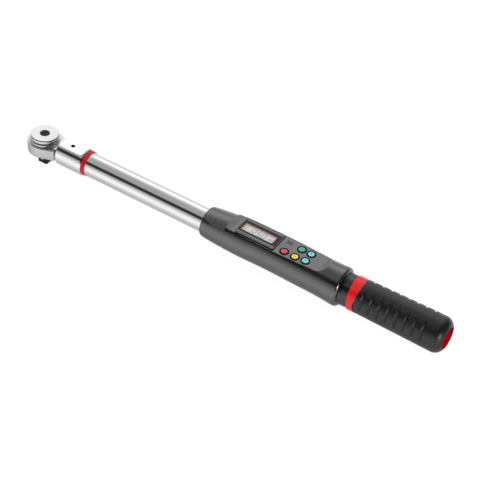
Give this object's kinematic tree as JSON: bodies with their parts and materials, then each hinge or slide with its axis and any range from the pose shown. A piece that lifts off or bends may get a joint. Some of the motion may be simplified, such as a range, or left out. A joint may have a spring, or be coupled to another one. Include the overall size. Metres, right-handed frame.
{
  "type": "electronic torque wrench",
  "caption": "Long torque wrench with a round reversible ratchet head, chrome tube, black housing with a display and coloured keys, and a ribbed rubber grip.",
  "frame": {"origin": "centre of the drive square's tip face", "axes": "+Z along the drive axis, from the drive's tip up through the reversing dial; +X along the tool from the head to the grip"},
  "size_m": [0.5349, 0.044, 0.049],
  "materials": {
    "polished_chrome": "polished chrome plate",
    "black_oxide_steel": "black oxide on hardened steel",
    "tool_steel": "ground steel",
    "spring_steel": "drawn wire",
    "red_ring": "glossy red",
    "red_plastic": "glossy red",
    "housing_plastic": "fine matte moulded",
    "grip_rubber": "matte rubber",
    "black_rubber": "matte rubber",
    "bezel_plastic": "satin",
    "window_clear": "clear",
    "lcd_panel": "reflective display",
    "board_green": "solder mask",
    "chip_black": "moulded epoxy",
    "key_red_plastic": "glossy",
    "key_yellow_plastic": "glossy",
    "key_green_plastic": "glossy",
    "key_blue_plastic": "glossy",
    "screw_steel": "zinc plated",
    "gauge_film": "polyimide film",
    "sleeve_plastic": "natural nylon",
    "contact_brass": "plated",
    "battery_can": "plain metal can"
  },
  "bodies": {
    "wrench_frame": {"head_body": "polished_chrome", "pawl_pin": "tool_steel", "head_cover": "polished_chrome", "cover_screws": "tool_steel", "dial_seal": "black_rubber", "pawl_spring": "spring_steel", "latch_spring": "spring_steel", "receiver": "polished_chrome", "front_ring": "red_ring", "torque_tube": "polished_chrome", "sensor_beam": "tool_steel", "beam_pin": "tool_steel", "beam_support": "tool_steel", "strain_gauges": "gauge_film", "gauge_flex": "gauge_film", "housing_nose": "housing_plastic", "housing_upper": "housing_plastic", "housing_lower": "housing_plastic", "housing_screws": "screw_steel", "lcd_bezel": "bezel_plastic", "lcd_window": "window_clear", "lcd_module": "lcd_panel", "main_board": "board_green", "board_screws": "screw_steel", "board_chips": "chip_black", "buzzer": "chip_black", "key_domes": "black_rubber", "key_surrounds": "bezel_plastic", "grip_collar": "housing_plastic", "grip_ring": "red_plastic", "grip_sleeve": "grip_rubber", "battery_sleeve": "sleeve_plastic", "front_contact": "contact_brass", "battery_cells": "battery_can", "end_bushing": "contact_brass"},
    "drive": {"drive_anvil": "black_oxide_steel", "button_spring": "spring_steel"},
    "release": {"release_button": "black_oxide_steel"},
    "ball": {"detent_ball": "tool_steel"},
    "pawl": {"pawl": "tool_steel"},
    "plunger": {"pawl_plunger": "tool_steel"},
    "dial": {"reverse_dial": "polished_chrome"},
    "latch": {"latch_pin": "black_oxide_steel"},
    "red_key": {"key_red": "key_red_plastic"},
    "yellow_key": {"key_yellow": "key_yellow_plastic"},
    "green_key": {"key_green": "key_green_plastic"},
    "up_key": {"key_up": "key_blue_plastic"},
    "down_key": {"key_down": "key_blue_plastic"},
    "battery_cap": {"end_cap": "red_plastic", "cap_seal": "black_rubber", "battery_spring": "spring_steel"}
  },
  "joints": [
    {"name": "drive_spin", "type": "hinge", "parent": "wrench_frame", "child": "drive", "pos_m": [0, 0, 0.02], "axis": [0, 0, 1], "continuous": true},
    {"name": "release_press", "type": "slide", "parent": "drive", "child": "release", "axis": [0, 0, -1], "range_m": [0, 0.0025], "stiffness_N_per_m": 400, "deforming": ["button_spring"]},
    {"name": "ball_sink", "type": "slide", "parent": "drive", "child": "ball", "axis": [0, 1, 0], "range_m": [0, 0.00095]},
    {"name": "dial_turn", "type": "hinge", "parent": "wrench_frame", "child": "dial", "pos_m": [0, 0, 0.037], "axis": [0, 0, 1], "range_deg": [0, 30]},
    {"name": "pawl_rock", "type": "hinge", "parent": "wrench_frame", "child": "pawl", "pos_m": [0.0143, 0, 0.0248], "axis": [0, 0, 1], "range_deg": [-7, 0]},
    {"name": "plunger_press", "type": "slide", "parent": "wrench_frame", "child": "plunger", "axis": [1, 0, 0], "range_m": [0, 0.0005], "stiffness_N_per_m": 300, "deforming": ["pawl_spring"]},
    {"name": "latch_press", "type": "slide", "parent": "wrench_frame", "child": "latch", "axis": [0, 0, -1], "range_m": [0, 0.0062], "stiffness_N_per_m": 400, "deforming": ["latch_spring"]},
    {"name": "battery_cap_off", "type": "slide", "parent": "wrench_frame", "child": "battery_cap", "axis": [1, 0, 0], "range_m": [0, 0.014]},
    {"name": "red_key_press", "type": "slide", "parent": "wrench_frame", "child": "red_key", "axis": [0, 0, -1], "range_m": [0, 0.0006], "stiffness_N_per_m": 1500},
    {"name": "yellow_key_press", "type": "slide", "parent": "wrench_frame", "child": "yellow_key", "axis": [0, 0, -1], "range_m": [0, 0.0006], "stiffness_N_per_m": 1500},
    {"name": "green_key_press", "type": "slide", "parent": "wrench_frame", "child": "green_key", "axis": [0, 0, -1], "range_m": [0, 0.0006], "stiffness_N_per_m": 1500},
    {"name": "up_key_press", "type": "slide", "parent": "wrench_frame", "child": "up_key", "axis": [0, 0, -1], "range_m": [0, 0.0006], "stiffness_N_per_m": 1500},
    {"name": "down_key_press", "type": "slide", "parent": "wrench_frame", "child": "down_key", "axis": [0, 0, -1], "range_m": [0, 0.0006], "stiffness_N_per_m": 1500}
  ],
  "couplings": [
    {"joint": "ball_sink", "follows": "release_press", "ratio": 0.38},
    {"joint": "pawl_rock", "follows": "dial_turn", "ratio": -0.23333}
  ]
}
